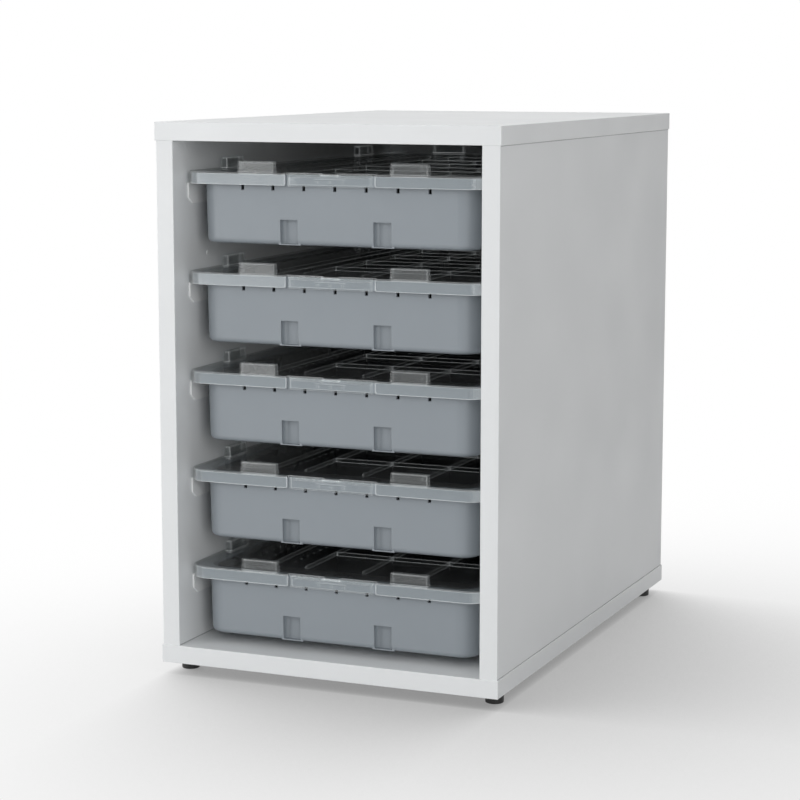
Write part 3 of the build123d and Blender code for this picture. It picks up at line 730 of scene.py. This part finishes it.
@dataclass(frozen=True)
class CrossScrews:
    """A group of screws with a cross recess, in place of the frame's plain ones."""

    node: str
    head: ScrewHead
    looks: Looks
    along: int  # screws along the depth, on each side and height
    heights: int
    arm_mm: float = 1.7  # length of the recess from the middle
    arm_half_mm: float = 0.36
    arm_depth_mm: float = 0.9
    slope_mm: float = 0.14  # run of the recess walls
    crease_deg: float = 30.0  # edges that turn more stay sharp
    top_rings: int = 14
    spokes: int = 48

    def build(self) -> bpy.types.Object:
        """Turn all the screws of the group as one piece that rides with the cabinet.

        Returns:
            The piece.
        """
        screw, faces = self.turned()
        seats = self.seats()
        points = np.concatenate([place + screw @ axes for place, axes in seats])
        piece = add_piece(f"cross_{self.node}", points, repeat_faces(faces, len(screw), len(seats)), ZINC)
        piece.data.set_sharp_from_angle(angle=math.radians(self.crease_deg))
        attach(piece, "cabinet")
        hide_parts(self.node)
        LOG.info("built %s with %d screws", piece.name, len(seats))
        return piece

    def turned(self) -> tuple[np.ndarray, Faces]:
        """Turn one screw about its axis.

        Its points are the turned outline, less the depth of the recess. The recess is a cross: the
        larger of two bars, each 1 within its half width and length and 0 outside, with a straight
        slope between.

        Returns:
            Points in metres with the axis along Z, and faces as lists of point numbers.
        """
        outline = np.array(self.head.value)
        top = np.linspace(outline[0], outline[1], self.top_rings + 1)
        rings = np.concatenate([top, outline[2:]])[1:-1]
        wall = polar_rings(rings[:, 0], rings[:, 1], self.spokes)
        x, y = wall[..., 0], wall[..., 1]
        bars = []
        for across, far in ((x, y), (y, x)):
            inside = np.minimum(self.arm_half_mm - np.abs(across), self.arm_mm - np.abs(far))
            bars.append(np.clip(inside / self.slope_mm, 0.0, 1.0))
        wall[..., 2] -= self.arm_depth_mm * np.maximum(*bars)
        middle = [[0.0, 0.0, outline[0, 1] - self.arm_depth_mm]]
        tip = [[0.0, 0.0, outline[-1, 1]]]
        points = np.concatenate([middle, wall.reshape(-1, 3), tip])
        last_ring = len(points) - 1 - self.spokes + np.arange(self.spokes)
        end = np.stack([np.full(self.spokes, len(points) - 1), np.roll(last_ring, -1), last_ring], axis=-1)
        return points * MM, polar_faces(len(rings), self.spokes) + end.tolist()

    def seats(self) -> list[tuple[np.ndarray, np.ndarray]]:
        """Seats and axes of the screws, worked out from the box of the frame's own group.

        Returns:
            For each screw its seat in metres, and its own X, Y and Z as rows.
        """
        low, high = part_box(self.node)
        radius = max(reach for reach, _ in self.head.value) * MM
        tip = self.head.value[-1][1] * MM
        seats = []
        for side in (-1.0, 1.0):
            for z in np.linspace(low[2] + radius, high[2] - radius, self.heights):
                if self.looks is Looks.BACK:
                    place = np.array([side * (high[0] - radius), high[1], z])
                    seats.append((place, np.array([[-1.0, 0.0, 0.0], [0.0, 0.0, 1.0], [0.0, 1.0, 0.0]])))
                    continue
                for y in np.linspace(low[1] + radius, high[1] - radius, self.along):
                    place = np.array([side * (high[0] + tip), y, z])
                    seats.append((place, np.array([[0.0, -side, 0.0], [0.0, 0.0, 1.0], [-side, 0.0, 0.0]])))
        return seats


@dataclass(frozen=True)
class LidPips:
    """Low domes under the left part of a lid, which keep long pieces from rattling."""

    level: int
    tab_mm: float = 10.4  # stacking tabs above the plate
    plate_mm: float = 1.8
    radius_mm: float = 1.5
    height_mm: float = 1.0
    pitch_mm: float = 15.0
    rows_mm: tuple[float, ...] = (-114.0, -101.0, -68.0)  # across the lid
    end_mm: float = 62.0  # first and last dome from the lid's ends
    rings: int = 5
    spokes: int = 14

    def build(self) -> bpy.types.Object:
        """Mould the domes of one lid as one piece that rides with it.

        A dome is the outline -h (1 - r^2 / R^2) over rings r, turned and hung from the underside of
        the plate.

        Returns:
            The piece.
        """
        low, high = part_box(f"lid_{self.level}")
        underside = high[2] - (self.tab_mm + self.plate_mm) * MM
        reach = np.linspace(0.0, self.radius_mm * MM, self.rings + 1)
        drop = self.height_mm * MM * (1.0 - (reach / reach[-1]) ** 2)
        shell = polar_rings(reach[1:], -drop[1:], self.spokes).reshape(-1, 3)
        dome = np.concatenate([[[0.0, 0.0, -drop[0]]], shell])
        places = self.places(low[1], high[1])
        points = np.concatenate([dome + [x, y, underside] for x, y in places])
        faces = repeat_faces(polar_faces(self.rings, self.spokes, facing_down=True), len(dome), len(places))
        piece = add_piece(f"lid_pips_{self.level}", points, faces, LID)
        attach(piece, f"lid_{self.level}")
        LOG.info("built %s with %d domes", piece.name, len(places))
        return piece

    def places(self, front: float, back: float) -> list[tuple[float, float]]:
        """Spots of the domes in metres; every other row is shifted by half a pitch.

        Args:
            front: front end of the lid.
            back: back end of the lid.

        Returns:
            X and Y of each dome.
        """
        spots = []
        for row, x in enumerate(self.rows_mm):
            shift = (row % 2) * self.pitch_mm * MM / 2
            ys = np.arange(front + self.end_mm * MM + shift, back - self.end_mm * MM, self.pitch_mm * MM)
            spots += [(x * MM, float(y)) for y in ys]
        return spots


@dataclass(frozen=True)
class Lamp:
    """A soft square lamp aimed at the cabinet."""

    name: str
    place: Point
    size: float  # side in metres
    power: float  # watts

    def build(self, aim: Vector) -> bpy.types.Object:
        """Hang the lamp and turn it to its aim.

        Args:
            aim: point that the lamp faces.

        Returns:
            The lamp.
        """
        data = bpy.data.lights.new(self.name, "AREA")
        data.shape = "SQUARE"
        data.size = self.size
        data.energy = self.power
        lamp = bpy.data.objects.new(self.name, data)
        lamp.location = Vector(self.place)
        lamp.rotation_euler = (aim - lamp.location).to_track_quat("-Z", "Y").to_euler()
        bpy.context.scene.collection.objects.link(lamp)
        return lamp


@dataclass(frozen=True)
class Studio:
    """Camera, soft lamps, pale surround and floor."""

    camera_place: Point = (0.9028, -2.2263, 0.6088)
    yaw: float = 22.852  # degrees that the camera turns to its left
    pitch: float = 8.497  # degrees that it looks down
    lens_mm: float = 102.56
    sensor_mm: float = 36.0
    bounces: int = 32  # enough to see through every clear wall in a row
    ambient: float = 0.19
    floor: FadingFloor = FadingFloor("matt_white_floor")
    floor_rings: int = 24
    floor_spokes: int = 96
    lamps: tuple[Lamp, ...] = (
        Lamp("left_softbox", (-1.8, -2.2, 0.85), 1.6, 27.0),
        Lamp("right_softbox", (1.8, -2.4, 0.85), 1.6, 25.8),
        Lamp("front_softbox", (0.0, -1.6, 2.3), 1.8, 5.5),
        Lamp("top_softbox", (0.0, 0.0, 2.6), 1.8, 17.6),
        Lamp("back_softbox", (-2.4, 0.9, 0.8), 1.6, 16.0),
    )

    def build(self, aim: Vector) -> None:
        """Set up everything around the object.

        Args:
            aim: middle of the object.
        """
        bpy.context.scene.view_settings.view_transform = "Standard"
        bpy.context.scene.cycles.max_bounces = self.bounces
        bpy.context.scene.cycles.transmission_bounces = self.bounces
        bpy.context.scene.cycles.transparent_max_bounces = self.bounces
        self.place_camera()
        for lamp in self.lamps:
            lamp.build(aim)
        self.light_surround()
        self.lay_floor()

    def place_camera(self) -> None:
        """Stand the camera where the reference view was taken from."""
        data = bpy.data.cameras.new("reference_view")
        data.lens = self.lens_mm
        data.sensor_width = self.sensor_mm
        camera = bpy.data.objects.new("reference_view", data)
        camera.location = Vector(self.camera_place)
        camera.rotation_euler = (math.radians(90.0 - self.pitch), 0.0, math.radians(self.yaw))
        bpy.context.scene.collection.objects.link(camera)
        bpy.context.scene.camera = camera

    def light_surround(self) -> None:
        """Make the world a plain soft light that looks white."""
        world = bpy.data.worlds.new("pale_surround")
        world.use_nodes = True
        tree = world.node_tree
        tree.nodes.clear()
        soft, white = (
            add_node(tree, "ShaderNodeBackground", {"Color": WHITE, "Strength": strength}).outputs["Background"]
            for strength in (self.ambient, 1.0)
        )
        add_node(tree, "ShaderNodeOutputWorld", {"Surface": lay_over(tree, seen_ray(tree), soft, white)})
        bpy.context.scene.world = world

    def lay_floor(self) -> None:
        """Lay a round floor that fades into the surround.

        The disc is a polar grid, so that its edge is round from every side.
        """
        radii = np.linspace(0.0, self.floor.end, self.floor_rings + 1)[1:]
        disc = polar_rings(radii, np.zeros_like(radii), self.floor_spokes).reshape(-1, 3)
        points = np.concatenate([np.zeros((1, 3)), disc])
        faces = polar_faces(self.floor_rings, self.floor_spokes)
        add_piece("studio_floor", points, faces, self.floor)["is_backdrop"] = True


def main() -> None:
    """Load the frame, dress its solids, add the fine pieces and set up the studio."""
    logging.basicConfig(level=logging.INFO, format="%(name)s: %(message)s")
    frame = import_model()
    solid_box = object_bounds()
    dresser = Dresser(frame["nodes"])
    Carcass().dress(dresser)
    CrossScrews("back_panel_screws", ScrewHead.COUNTERSUNK, Looks.BACK, along=1, heights=4).build()
    CrossScrews("runner_screws", ScrewHead.PAN, Looks.MIDDLE, along=3, heights=5).build()
    for level in LEVELS:
        TrayLevel(level).dress(dresser)
        LidPips(level).build()
    low, high = (Vector(corner) for corner in solid_box)
    Studio().build((low + high) / 2)


if __name__ == "__main__":
    main()
